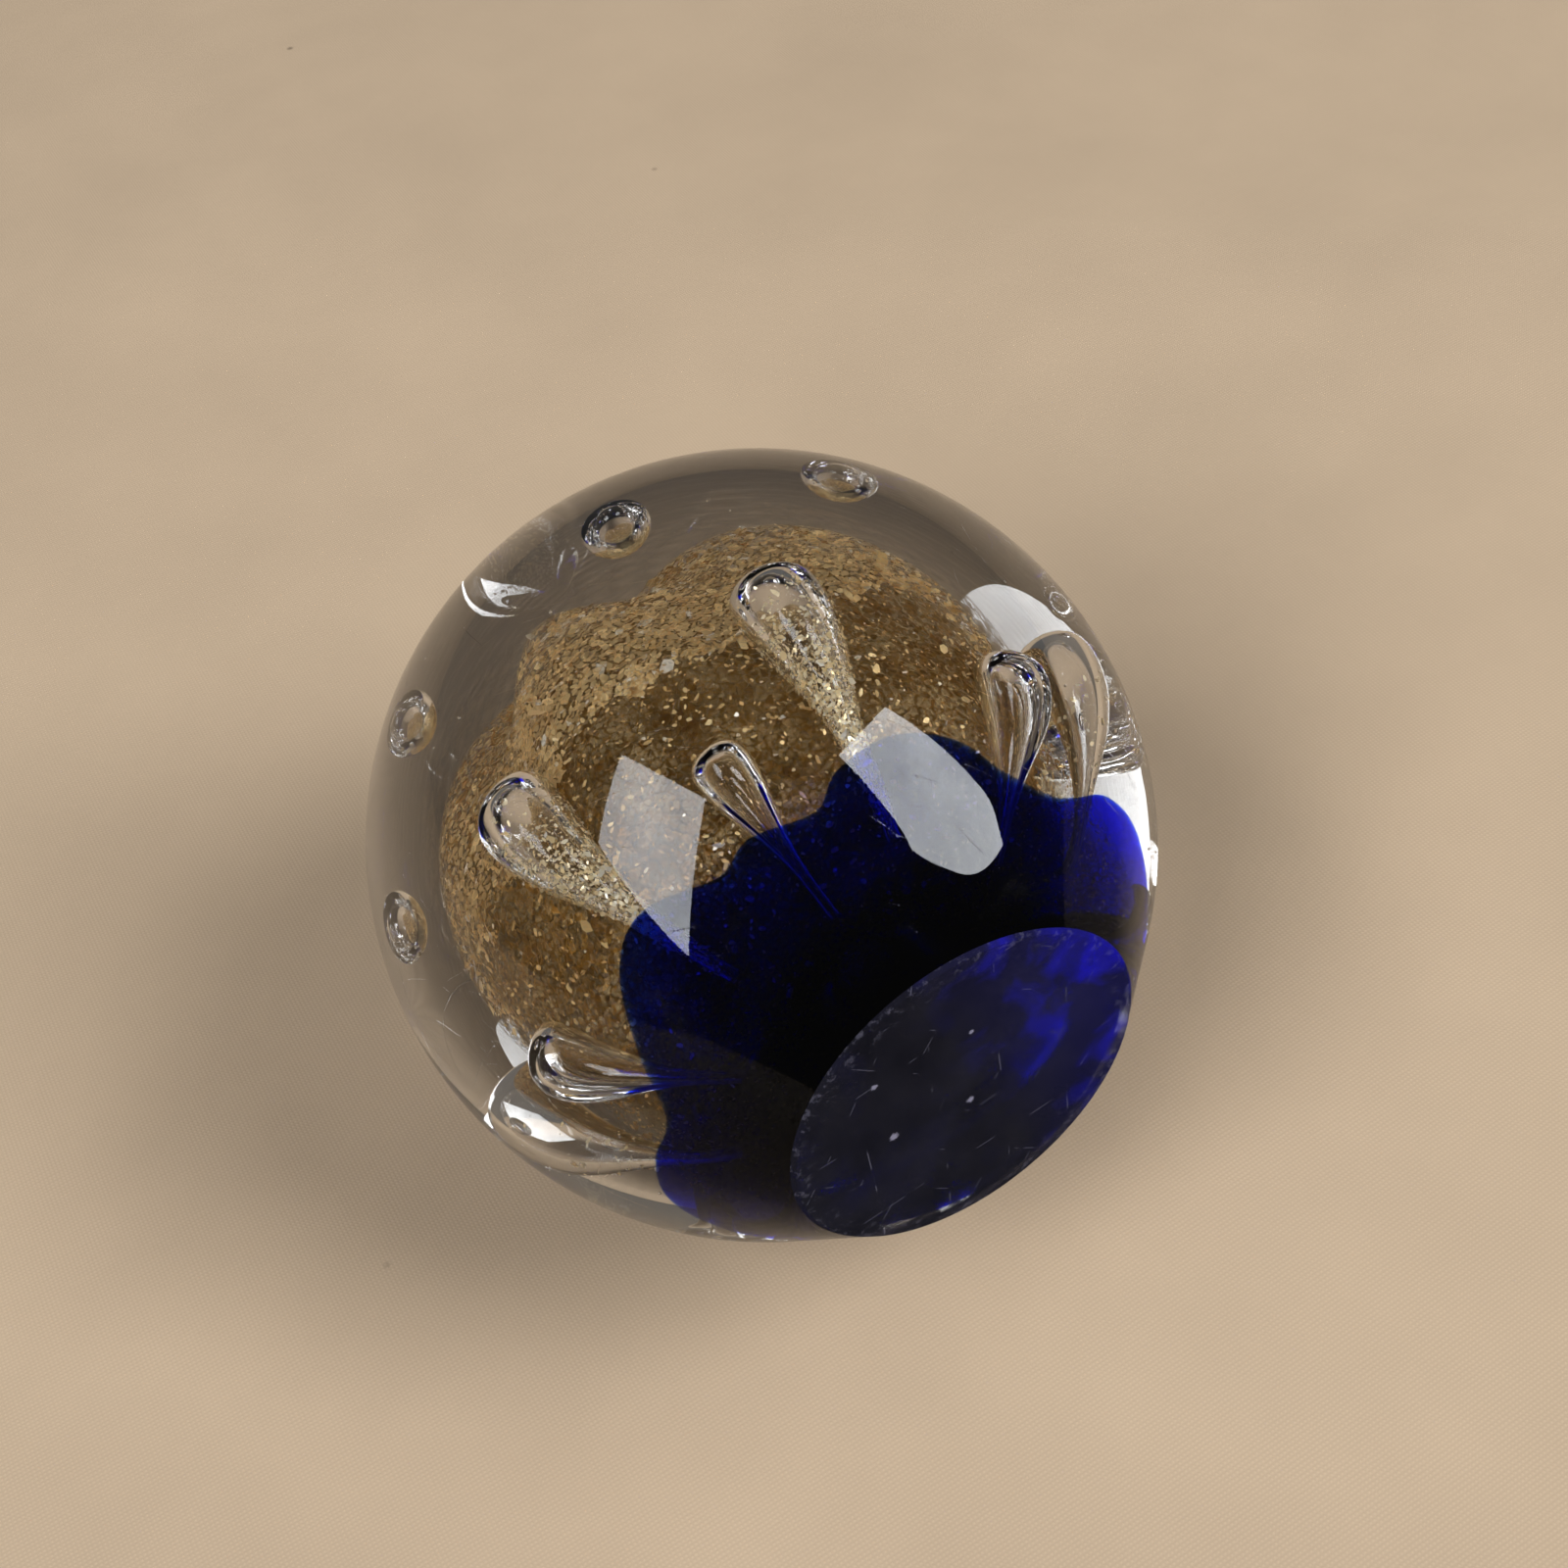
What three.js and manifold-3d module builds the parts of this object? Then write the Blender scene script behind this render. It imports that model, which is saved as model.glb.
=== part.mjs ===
// An art-glass paperweight: a near-round crystal ball, ground flat under its foot.
// It is made gather over gather. A clear core carries a ribbed skin of mica flakes, a cobalt cup with
// five petals wraps the underside, and two clear gathers cover them. Air is trapped between the layers:
// two staggered rows of long teardrops on the mica skin, and round beads under the outer gather.
// Millimetres, +Z up, origin at the centre of the flat foot. Azimuths are in degrees, 0 along -Y.
import * as THREE from 'three';
import { mergeVertices } from 'three/addons/utils/BufferGeometryUtils.js';
import Module from 'manifold-3d';

const wasm = await Module();
wasm.setup();

// Driving dimensions
const BALL_RADIUS = 40.0; // across the equator
const POLE_RADIUS = 40.7; // from the equator up to the crown
const EQUATOR_HEIGHT = 38.3; // of the equator above the foot
const FOOT_RADIUS = 18.1; // of the ground flat
const FOOT_BEVEL = 0.4; // broken edge round the flat
const RIB_COUNT = 5; // ribs of the veil
const LAYER_GAP = 0.3; // between neighbouring layers

// Facets
const SEGMENTS = 30; // round the axis
const ROUND_STEPS = 13; // up the round of the ball
const SHOULDER_STEPS = 12; // up the boundary of the outer gather
const DOME_STEPS = 7; // over the dome of that boundary
const WALL_STEPS = 5; // up the outside of the cup
const INSIDE_STEPS = 3; // down the inside of the cup
const VEIL_STEPS = 10; // along the veil and the core
const DROP_STEPS = 9; // along a drop
const DROP_SIDES = 8; // around a drop
const BEAD_SIDES = 10; // around a bead
const BEAD_RINGS = 7; // from pole to pole of a bead
const CURVE_SAMPLES = 200; // along a smooth curve that is looked up

// Outside of the cobalt cup, as radius and height
const CUP_POINTS = [
  [16.2, 0],
  [19.2, 5.5],
  [21.0, 11],
  [22.4, 16.5],
  [24.8, 21.8],
  [27.6, 26],
];

// The boundary of the outer gather: along the cup, out over the lower drops, then a round dome
const SHOULDER_POINTS = [
  [16.2, 0],
  [19.2, 5.5],
  [21.1, 11],
  [23.4, 16],
  [27.0, 20],
  [29.4, 24.5],
  [30.6, 29],
];
const DOME_RADIUS = 32;

// Cobalt cup
const PETAL_TIP = 21.7; // height of the highest petal
const CUP_FLOOR = 12.2; // height of the cup's inside
const CUP_WALL = 3.2; // thickness of the wall near the floor
const RIM_THICKNESS = 1.3;
const FLOOR_EDGE = [13.5, 12.6]; // where the inside wall runs out into the floor, as radius and height
const WALL_FOOT = 2; // height above the floor at which the inside wall starts to run out
const SCALLOP_START = 1; // height above the floor from which the wall is drawn up or down to the rim

// Rim of the cup, as azimuth and height: five petals, and a small lobe at the front between two of them
const RIM_POINTS = [
  [-144, 15.6], [-125, 19.2], [-104, 20.2], [-84, 17.8], [-68, 15.1], [-53, 18.1], [-38, 21.3],
  [-26, 21.7], [-11, 19.0], [-2, 19.5], [12, 18.2], [20, 20.0], [34, 20.9], [47, 19.6], [56, 17.0],
  [68, 15.5], [78, 16.6], [92, 19.3], [110, 20.6], [128, 18.8], [144, 15.6], [156, 18.3],
  [180, 20.7], [204, 18.3], [216, 15.6],
];

// Mica veil and the core in it
const VEIL_HEIGHT = 35.2; // of the veil's middle above the foot
const VEIL_RADIUS = 22.0;
const VEIL_THICKNESS = 1.0;
const VEIL_RIB = 0.05; // ribs stand out by this share of the radius, at azimuth 0 and every 72
const VEIL_OPENING = 160; // polar angle at which the veil ends, from the crown
const NECK_RADIUS = 6.4; // of the core, where it comes out through the veil

// Trapped air: the drops' polar angles are taken at the middle of the veil, from the crown
const LOWER_ROW = { azimuths: [3, 68, 141, 219, 292], head: 110, tail: 146, radius: 2.7 };
const UPPER_ROW = { azimuths: [31, 105, 180, 254, 328], head: 83, tail: 138, radius: 3.7 };
const TAIL_SHARE = 0.17; // tail radius over head radius
const TAPER_POWER = 1.8; // how soon a drop narrows behind its head
const DROP_LIFT = 0.33; // of a drop off the veil
// Beads: azimuth, polar angle at the middle of the ball from the crown, radius, and outward stretch
const BEADS = [
  [14.5, 67, 3.0, 1.35],
  [52.5, 73, 3.3, 1.1],
  [98, 72, 3.0, 1.0],
  [146, 67, 3.2, 1.15],
  [196, 71, 2.8, 1.0],
  [248, 69, 3.1, 1.1],
  [301, 83, 3.1, 1.1],
  [325.5, 63, 2.9, 1.45],
];

const finish = {
  crystal: { color: 0xe9ece8, roughness: 0.03, metalness: 0 },
  cobalt: { color: 0x0a0f8c, roughness: 0.08, metalness: 0 },
  mica: { color: 0x9a7a48, roughness: 0.4, metalness: 0.5 },
  air: { color: 0xffffff, roughness: 0.0, metalness: 0 },
};

const radians = THREE.MathUtils.degToRad;
const steps = (count, at) => Array.from({ length: count + 1 }, (_, i) => at(i / count));

// Azimuth of a point in radians, 0 along -Y
const azimuthOf = (x, y) => Math.atan2(x, -y);

// A direction from azimuth and polar angle in degrees
function direction(azimuth, polar) {
  const around = radians(azimuth);
  const down = radians(polar);
  return new THREE.Vector3(
    Math.sin(down) * Math.sin(around),
    -Math.sin(down) * Math.cos(around),
    Math.cos(down),
  );
}

// Moves each point of an outline of [radius, height] outwards by a distance
function grown(outline, distance) {
  return outline.map(([radius, height], i) => {
    const [r0, h0] = outline[Math.max(i - 1, 0)];
    const [r1, h1] = outline[Math.min(i + 1, outline.length - 1)];
    const length = Math.hypot(r1 - r0, h1 - h0);
    const onAxis = radius < 1e-6;
    const out = onAxis ? 0 : (h1 - h0) / length;
    const up = onAxis ? Math.sign(r0 - r1) : (r0 - r1) / length;
    return [radius + out * distance, height + up * distance];
  });
}

// Turns an outline about Z. With the axis on its left, the outline runs anticlockwise round the body.
function turned(outline) {
  const points = outline.map(([radius, height]) => new THREE.Vector2(Math.max(radius, 0), height));
  const geometry = new THREE.LatheGeometry(points, SEGMENTS);
  geometry.rotateX(Math.PI / 2);
  return geometry;
}

// Moves the vertices of a geometry by a function of a Vector3
function reshaped(geometry, move) {
  const position = geometry.attributes.position;
  const point = new THREE.Vector3();
  for (let i = 0; i < position.count; i += 1) {
    move(point.fromBufferAttribute(position, i));
    position.setXYZ(i, point.x, point.y, point.z);
  }
  return geometry;
}

// A manifold of a closed geometry, without the slivers that its seam and poles leave
function solid(geometry) {
  const bare = new THREE.BufferGeometry();
  bare.setAttribute('position', geometry.attributes.position);
  bare.setIndex(geometry.index);
  const merged = mergeVertices(bare, 1e-4);
  const triangles = [];
  for (let i = 0; i < merged.index.count; i += 3) {
    const [a, b, c] = [0, 1, 2].map((k) => merged.index.getX(i + k));
    if (a !== b && b !== c && c !== a) triangles.push(a, b, c);
  }
  return new wasm.Manifold(new wasm.Mesh({
    numProp: 3,
    vertProperties: Float32Array.from(merged.attributes.position.array),
    triVerts: Uint32Array.from(triangles),
  }));
}

function geometryOf(manifold) {
  const mesh = manifold.getMesh();
  const geometry = new THREE.BufferGeometry();
  geometry.setAttribute('position', new THREE.BufferAttribute(mesh.vertProperties, 3));
  geometry.setIndex(new THREE.BufferAttribute(mesh.triVerts, 1));
  geometry.computeVertexNormals();
  return geometry;
}

// The ball's outer outline, from the edge of the foot to the crown. The side rises from the foot as a
// straight cone that runs smoothly into the round of the ball.
function ballOutline() {
  const start = new THREE.Vector2(FOOT_RADIUS + FOOT_BEVEL, FOOT_BEVEL);
  const across = start.x / BALL_RADIUS;
  const below = (EQUATOR_HEIGHT - start.y) / POLE_RADIUS;
  const touch = Math.atan2(across, below) + Math.acos(1 / Math.hypot(across, below));
  const round = steps(ROUND_STEPS, (t) => {
    const angle = touch + (Math.PI - touch) * t;
    return [BALL_RADIUS * Math.sin(angle), EQUATOR_HEIGHT - POLE_RADIUS * Math.cos(angle)];
  });
  return [[FOOT_RADIUS, 0], [start.x, start.y], ...round];
}

const smooth = (points) => new THREE.SplineCurve(points.map(([x, y]) => new THREE.Vector2(x, y)));

// The height of a smooth curve through points, at a place along it
function curve(points, along) {
  const samples = smooth(points).getPoints(CURVE_SAMPLES);
  return (place) => {
    const next = Math.max(1, samples.findIndex((point) => point[along] >= place));
    const [low, high] = [samples[next - 1], samples[next]];
    const across = along === 'x' ? 'y' : 'x';
    return THREE.MathUtils.mapLinear(place, low[along], high[along], low[across], high[across]);
  };
}

// The boundary between the outer gather and what it covers, from the foot to its crown
function innerOutline() {
  const wall = smooth(SHOULDER_POINTS).getPoints(SHOULDER_STEPS).map((point) => [point.x, point.y]);
  const [lastRadius] = SHOULDER_POINTS.at(-1);
  const first = Math.PI - Math.asin(lastRadius / DOME_RADIUS);
  const dome = steps(DOME_STEPS, (t) => {
    const angle = first * (1 - t);
    return [DOME_RADIUS * Math.sin(angle), EQUATOR_HEIGHT + DOME_RADIUS * Math.cos(angle)];
  });
  return [...wall.slice(0, -1), ...dome];
}

// Radius of the cup's outside at a height, and height of its rim at an azimuth in degrees
const wallRadius = curve(CUP_POINTS, 'y');
const rimCurve = curve(RIM_POINTS, 'x');
const rimHeight = (azimuth) => rimCurve(azimuth < RIM_POINTS[0][0] ? azimuth + 360 : azimuth);

// The cup, grown by a distance: foot, wall up to the rim, round rim, inside wall and floor
function cup(distance) {
  const wall = steps(WALL_STEPS, (t) => PETAL_TIP * t).map((height) => [wallRadius(height), height]);
  const insideDepth = PETAL_TIP - CUP_FLOOR - WALL_FOOT;
  const inside = steps(INSIDE_STEPS, (t) => {
    const height = PETAL_TIP - insideDepth * t;
    return [wallRadius(height) - THREE.MathUtils.lerp(RIM_THICKNESS, CUP_WALL, t), height];
  });
  const rim = [wallRadius(PETAL_TIP) - RIM_THICKNESS / 2, PETAL_TIP + RIM_THICKNESS / 2];
  const outline = [[0, 0], ...wall, rim, ...inside, FLOOR_EDGE, [0, CUP_FLOOR]];
  const base = grown(outline, distance).map(([r, h], i) => (i < 2 ? [r, -distance] : [r, h]));
  const start = CUP_FLOOR + SCALLOP_START;
  return reshaped(turned(base), (point) => {
    if (point.z <= start) return;
    const azimuth = THREE.MathUtils.radToDeg(azimuthOf(point.x, point.y));
    const share = (rimHeight(azimuth) - start) / (PETAL_TIP - start);
    const height = start + (point.z - start) * share;
    const radius = Math.hypot(point.x, point.y);
    const moved = radius + wallRadius(height) - wallRadius(point.z);
    point.set((point.x * moved) / radius, (point.y * moved) / radius, height);
  });
}

// Share by which the ribs push the veil out at an azimuth and polar angle, in radians
function ribShare(azimuth, polar) {
  const side = Math.sin(polar);
  const reach = polar < Math.PI / 2 ? 1 - (1 - side) ** 3 : side ** 3;
  return VEIL_RIB * reach * Math.cos(azimuth * RIB_COUNT);
}

// Pushes a geometry out along the ribs, from the middle of the veil
function ribbed(geometry) {
  return reshaped(geometry, (point) => {
    const rise = point.z - VEIL_HEIGHT;
    const polar = Math.atan2(Math.hypot(point.x, point.y), rise);
    const factor = 1 + ribShare(azimuthOf(point.x, point.y), polar);
    point.set(point.x * factor, point.y * factor, VEIL_HEIGHT + rise * factor);
  });
}

// An arc of the veil's middle section between two polar angles in degrees
function veilArc(radius, from, to, count) {
  return steps(count, (t) => {
    const angle = radians(from + (to - from) * t);
    return [radius * Math.sin(angle), VEIL_HEIGHT + radius * Math.cos(angle)];
  });
}

// The veil: a thin ribbed shell, open at the bottom for the core's neck
function veil() {
  const outside = veilArc(VEIL_RADIUS, VEIL_OPENING, 0, VEIL_STEPS);
  const inside = veilArc(VEIL_RADIUS - VEIL_THICKNESS, 0, VEIL_OPENING, VEIL_STEPS);
  return ribbed(turned([...inside, ...outside]));
}

// All the room that the veil and the core take inside the next gather
function veilRoom() {
  const edge = veilArc(VEIL_RADIUS + LAYER_GAP, VEIL_OPENING + 1, 0, VEIL_STEPS);
  return ribbed(turned([[0, edge[0][1]], ...edge]));
}

// The core, grown by a distance: a ribbed ball inside the veil, on a neck that stands on the cup's floor
function core(distance) {
  const radius = VEIL_RADIUS - VEIL_THICKNESS - LAYER_GAP + distance;
  const neck = NECK_RADIUS + distance;
  const neckAngle = 180 - THREE.MathUtils.radToDeg(Math.asin(neck / radius));
  const bottom = CUP_FLOOR + LAYER_GAP - distance;
  return ribbed(turned([[0, bottom], [neck, bottom], ...veilArc(radius, neckAngle, 0, VEIL_STEPS)]));
}

// Radius of a drop at a share of its length from the head, over its head radius
function dropShare(t, headShare) {
  if (t < headShare) return Math.sqrt(Math.max(0, 1 - (1 - t / headShare) ** 2));
  const along = (t - headShare) / (1 - headShare);
  return TAIL_SHARE + (1 - TAIL_SHARE) * (0.5 + 0.5 * Math.cos(Math.PI * along)) ** TAPER_POWER;
}

// A teardrop of air, grown by a distance. It lies on the veil, head up, with its tail running down and
// round under it. It is turned straight along -Y first, with a length of 1, and then laid on the veil.
function teardrop(azimuth, row, distance) {
  const reach = VEIL_RADIUS + DROP_LIFT;
  const headAngle = THREE.MathUtils.radToDeg(row.radius / (reach + row.radius));
  const start = row.head - headAngle;
  const headShare = headAngle / (row.tail - start);
  const profile = steps(DROP_STEPS, (t) => {
    const along = t < 0.5 ? Math.SQRT2 * t ** 1.5 : t; // closer rings on the head
    return new THREE.Vector2(row.radius * dropShare(along, headShare), -along);
  });
  profile.push(new THREE.Vector2(0, -1));
  const sideways = direction(azimuth + 90, 90);
  return reshaped(new THREE.LatheGeometry(profile, DROP_SIDES), (point) => {
    const along = Math.min(-point.y, 1);
    const polar = start + (row.tail - start) * along;
    const out = direction(azimuth, polar);
    const rib = VEIL_RADIUS * ribShare(radians(azimuth), radians(polar));
    const section = row.radius * dropShare(along, headShare);
    const length = Math.hypot(point.x, point.z);
    const onAxis = length < 1e-6;
    const scale = onAxis ? 0 : (length + distance) / length;
    const beyond = onAxis ? distance : 0;
    const end = direction(azimuth, polar + 90).multiplyScalar(along < 0.5 ? -beyond : beyond);
    const centre = out.clone().multiplyScalar(reach + rib + section).add(end);
    centre.z += VEIL_HEIGHT;
    point.copy(centre.addScaledVector(out, point.x * scale).addScaledVector(sideways, point.z * scale));
  });
}

// A bead of air, grown by a distance, under the outer gather
function bead([azimuth, polar, radius, stretch], distance) {
  const geometry = new THREE.SphereGeometry(1, BEAD_SIDES, BEAD_RINGS);
  geometry.scale(radius + distance, radius * stretch + distance, radius + distance);
  const out = direction(azimuth, polar);
  geometry.applyQuaternion(new THREE.Quaternion().setFromUnitVectors(new THREE.Vector3(0, 1, 0), out));
  geometry.translate(out.x * DOME_RADIUS, out.y * DOME_RADIUS, out.z * DOME_RADIUS + EQUATOR_HEIGHT);
  return geometry;
}

const group = new THREE.Group();

function add(name, geometry, look) {
  const mesh = new THREE.Mesh(geometry, new THREE.MeshStandardMaterial(look));
  mesh.name = name;
  group.add(mesh);
}

const cut = (body, tool) => body.subtract(solid(tool));
const rows = { lower: LOWER_ROW, upper: UPPER_ROW };
const drops = (distance) =>
  Object.values(rows).flatMap((row) => row.azimuths.map((azimuth) => teardrop(azimuth, row, distance)));
const beads = (distance) => BEADS.map((place) => bead(place, distance));

// The outer gather: ball outline outside, the boundary outline inside, open at the foot
function crystalCasing() {
  const inside = grown(innerOutline(), LAYER_GAP).map(([r, h], i) => (i === 0 ? [r, 0] : [r, h]));
  return beads(LAYER_GAP).reduce(cut, solid(turned([...inside.reverse(), ...ballOutline()])));
}

// The gather inside it: all that the boundary holds, less the cup, the veil, the core and the air
function innerGather() {
  const whole = solid(turned([[0, 0], ...innerOutline()]));
  const tools = [cup(LAYER_GAP), veilRoom(), core(LAYER_GAP), ...drops(LAYER_GAP), ...beads(LAYER_GAP)];
  return tools.reduce(cut, whole);
}

add('crystal_casing', geometryOf(crystalCasing()), finish.crystal);
add('inner_gather', geometryOf(innerGather()), finish.crystal);
add('mica_veil', geometryOf(solid(veil())), finish.mica);
add('core_gather', geometryOf(solid(core(0))), finish.crystal);
add('cobalt_cup', geometryOf(solid(cup(0))), finish.cobalt);
for (const [rowName, row] of Object.entries(rows)) {
  row.azimuths.forEach((azimuth, i) => {
    add(`${rowName}_teardrop_${i + 1}`, geometryOf(solid(teardrop(azimuth, row, 0))), finish.air);
  });
}
BEADS.forEach((place, i) => add(`air_bead_${i + 1}`, geometryOf(solid(bead(place, 0))), finish.air));

export default group;
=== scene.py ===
"""Art-glass paperweight: a crystal ball over a mica veil, a cobalt petal cup and trapped air.

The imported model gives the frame, and every piece of glass, mica and air here stands for one of its nodes.
All lengths are in metres. Azimuths run from -Y towards +X, and polar angles from the crown downwards.
"""

import math

import bpy
import numpy as np
from bpy.props import FloatProperty, FloatVectorProperty, IntProperty, PointerProperty
from bpy.types import Operator, Panel, PropertyGroup
from mathutils import Matrix, Vector


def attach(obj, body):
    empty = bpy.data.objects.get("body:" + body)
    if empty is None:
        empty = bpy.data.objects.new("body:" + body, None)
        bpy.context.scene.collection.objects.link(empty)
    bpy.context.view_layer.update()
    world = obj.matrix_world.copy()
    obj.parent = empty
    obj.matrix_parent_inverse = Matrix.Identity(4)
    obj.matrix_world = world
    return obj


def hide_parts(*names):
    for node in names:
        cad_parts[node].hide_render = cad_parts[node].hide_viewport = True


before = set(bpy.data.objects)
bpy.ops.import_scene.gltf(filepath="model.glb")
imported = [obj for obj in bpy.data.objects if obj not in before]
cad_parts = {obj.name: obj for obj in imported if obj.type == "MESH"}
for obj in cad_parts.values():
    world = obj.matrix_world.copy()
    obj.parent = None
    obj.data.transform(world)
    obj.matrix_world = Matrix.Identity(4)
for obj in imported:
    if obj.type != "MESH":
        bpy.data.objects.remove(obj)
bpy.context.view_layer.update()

bl_info = {
    "name": "Art-glass Paperweight",
    "version": (1, 0, 0),
    "blender": (4, 5, 0),
    "location": "View3D > Sidebar > Paperweight",
    "description": "Builds a crystal paperweight with a mica veil, a cobalt petal cup and trapped air",
    "category": "Object",
}

BODY = "root"
MM = 0.001

RIBS = 5  # of the veil
GLASS_IOR = 1.5
AIR_IN_GLASS_IOR = 1 / GLASS_IOR
TURN_STEPS = 240  # facets round the axis
CHANCE = 11  # start of the random draws

# Outside of the cobalt cup, as radius and height in millimetres
CUP_WALL_POINTS = [(16.2, 0), (19.2, 5.5), (21.0, 11), (22.4, 16.5), (24.8, 21.8), (27.6, 26)]
# Where the outer gather meets the inner one, from the foot up to the dome
SHOULDER_POINTS = [(16.2, 0), (19.2, 5.5), (21.1, 11), (23.4, 16), (27.0, 20), (29.4, 24.5), (30.6, 29)]

# Rim of the cup, as azimuth in degrees and height in millimetres: five petals, and a small lobe at the front
RIM_POINTS = [
    (-144, 15.6), (-125, 19.2), (-104, 20.2), (-84, 17.8), (-68, 15.1), (-53, 18.1), (-38, 21.3),
    (-26, 21.7), (-11, 19.0), (-2, 19.5), (12, 18.2), (20, 20.0), (34, 20.9), (47, 19.6), (56, 17.0),
    (68, 15.5), (78, 16.6), (92, 19.3), (110, 20.6), (128, 18.8), (144, 15.6), (156, 18.3),
    (180, 20.7), (204, 18.3), (216, 15.6),
]  # fmt: skip

# Air drops on the veil: azimuth in degrees, width over its row's, and how much mica clings to it
LOWER_ROW = [(3, 0.92, 0.0), (68, 1.25, 0.0), (141, 1.0, 0.0), (219, 1.1, 0.0), (292, 1.2, 0.0)]
UPPER_ROW = [(31, 1.0, 1.0), (105, 0.75, 0.05), (180, 0.95, 1.0), (254, 0.9, 0.05), (328, 1.0, 1.0)]

# Crests of the veil's ribs, in degrees, with their height over the even ribs' and the stretch of the crown
RIB_CRESTS = (-12, 64, 144, 216, 290)
HAND_RIB = 1.3
CROWN_STRETCH = 1.04
CLINGING_COUNT = 2200  # mica flakes carried by each upper drop
BAND_EDGE = 76  # polar angle in degrees, from the veil's middle, down to which the mica lies thick
CLUMP_COUNT, CLUMP_FLAKES = 70, 22  # clumps of mica along that edge, and flakes in each
SPARSE_SHARE = 0.34  # of the flakes, below the edge
SPARSE_SIZE = 0.55  # of a flake there
LAYER_GAP = 0.3 * MM  # between neighbouring layers
DROP_LIFT = 0.33 * MM  # of a drop off the veil

# Pits in the ground foot: place and radius in millimetres
FOOT_PITS = [(-6.1, -10.7, 0.5), (-0.4, 1.3, 0.6), (-7.8, -2.3, 0.7), (3.5, -7.5, 0.4)]

# Fine seeds of air in the inner gather
SEED_COUNT = 70
SEED_RADII = (0.04, 0.13)  # smallest and largest, in millimetres
SEED_LOW = -0.55  # cosine of the polar angle down to which they lie
SEED_RINGS, SEED_STEPS = 5, 8

# Beads under the outer gather: azimuth and polar angle in degrees, radius in millimetres, outward stretch
BEADS = [
    (14.5, 67, 3.0, 1.35),
    (52.5, 73, 3.3, 1.1),
    (98, 72, 3.0, 1.0),
    (146, 67, 3.2, 1.15),
    (196, 71, 2.8, 1.0),
    (248, 69, 3.1, 1.1),
    (301, 83, 3.1, 1.1),
    (325.5, 63, 2.9, 1.45),
]
BEAD_RINGS, BEAD_STEPS = 40, 64


# ---------------------------------------------------------------- settings


class BallSizes(PropertyGroup):
    equator_radius: FloatProperty(
        name="Equator radius", description="Radius of the ball at its widest", default=0.040, unit="LENGTH"
    )
    pole_radius: FloatProperty(
        name="Pole radius", description="Height of the crown above the equator", default=0.0407, unit="LENGTH"
    )
    equator_height: FloatProperty(
        name="Equator height",
        description="Height of the widest part above the foot",
        default=0.0383,
        unit="LENGTH",
    )
    foot_radius: FloatProperty(
        name="Foot radius", description="Radius of the ground flat", default=0.0181, unit="LENGTH"
    )
    foot_bevel: FloatProperty(
        name="Foot bevel", description="Broken edge round the ground flat", default=0.0004, unit="LENGTH"
    )
    dome_radius: FloatProperty(
        name="Inner dome radius",
        description="Radius at which the outer gather meets the inner one",
        default=0.032,
        unit="LENGTH",
    )
    glass_colour: FloatVectorProperty(
        name="Crystal colour",
        description="Tint of the clear crystal",
        default=(0.955, 0.945, 0.925),
        subtype="COLOR",
        min=0,
        max=1,
    )


class CupSizes(PropertyGroup):
    petal_tip: FloatProperty(
        name="Petal tip", description="Height of the highest petal", default=0.0217, unit="LENGTH"
    )
    floor_height: FloatProperty(
        name="Floor height",
        description="Height of the inside of the cup's floor",
        default=0.0122,
        unit="LENGTH",
    )
    wall: FloatProperty(
        name="Wall", description="Thickness of the wall near the floor", default=0.0032, unit="LENGTH"
    )
    rim: FloatProperty(
        name="Rim", description="Thickness of the wall at the rim", default=0.0013, unit="LENGTH"
    )
    cobalt_colour: FloatVectorProperty(
        name="Cobalt colour",
        description="Light that passes the cobalt glass",
        default=(0.0, 0.32, 0.945),
        subtype="COLOR",
        min=0,
        max=1,
    )
    cobalt_density: FloatProperty(
        name="Cobalt density", description="How fast the cobalt glass darkens, per metre", default=3800, min=0
    )


class VeilSizes(PropertyGroup):
    height: FloatProperty(
        name="Middle height",
        description="Height of the veil's middle above the foot",
        default=0.0352,
        unit="LENGTH",
    )
    radius: FloatProperty(
        name="Radius", description="Mean radius of the veil", default=0.022, unit="LENGTH"
    )
    thickness: FloatProperty(
        name="Thickness", description="Depth of the layer that holds the flakes", default=0.001, unit="LENGTH"
    )
    rib: FloatProperty(
        name="Rib",
        description="Share of the radius by which the five ribs stand out",
        default=0.05,
        min=0,
        max=0.3,
    )
    opening: FloatProperty(
        name="Opening",
        description="Polar angle at which the veil ends",
        default=math.radians(160),
        subtype="ANGLE",
    )
    neck_radius: FloatProperty(
        name="Neck radius",
        description="Radius of the core where it leaves the veil",
        default=0.0064,
        unit="LENGTH",
    )
    core_colour: FloatVectorProperty(
        name="Core colour",
        description="Light that passes the olive core",
        default=(0.72, 0.62, 0.36),
        subtype="COLOR",
        min=0,
        max=1,
    )
    core_density: FloatProperty(
        name="Core density", description="How fast the core darkens, per metre", default=80, min=0
    )
    flake_count: IntProperty(name="Flakes", description="Number of mica flakes", default=19000, min=0)
    flake_size: FloatProperty(
        name="Flake size", description="Mean width of a mica flake", default=0.00046, unit="LENGTH"
    )
    gold: FloatVectorProperty(
        name="Gold mica",
        description="Bright flakes",
        default=(1.0, 0.78, 0.40),
        subtype="COLOR",
        min=0,
        max=1,
    )
    umber: FloatVectorProperty(
        name="Umber mica",
        description="Dark flakes",
        default=(0.70, 0.45, 0.17),
        subtype="COLOR",
        min=0,
        max=1,
    )


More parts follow.
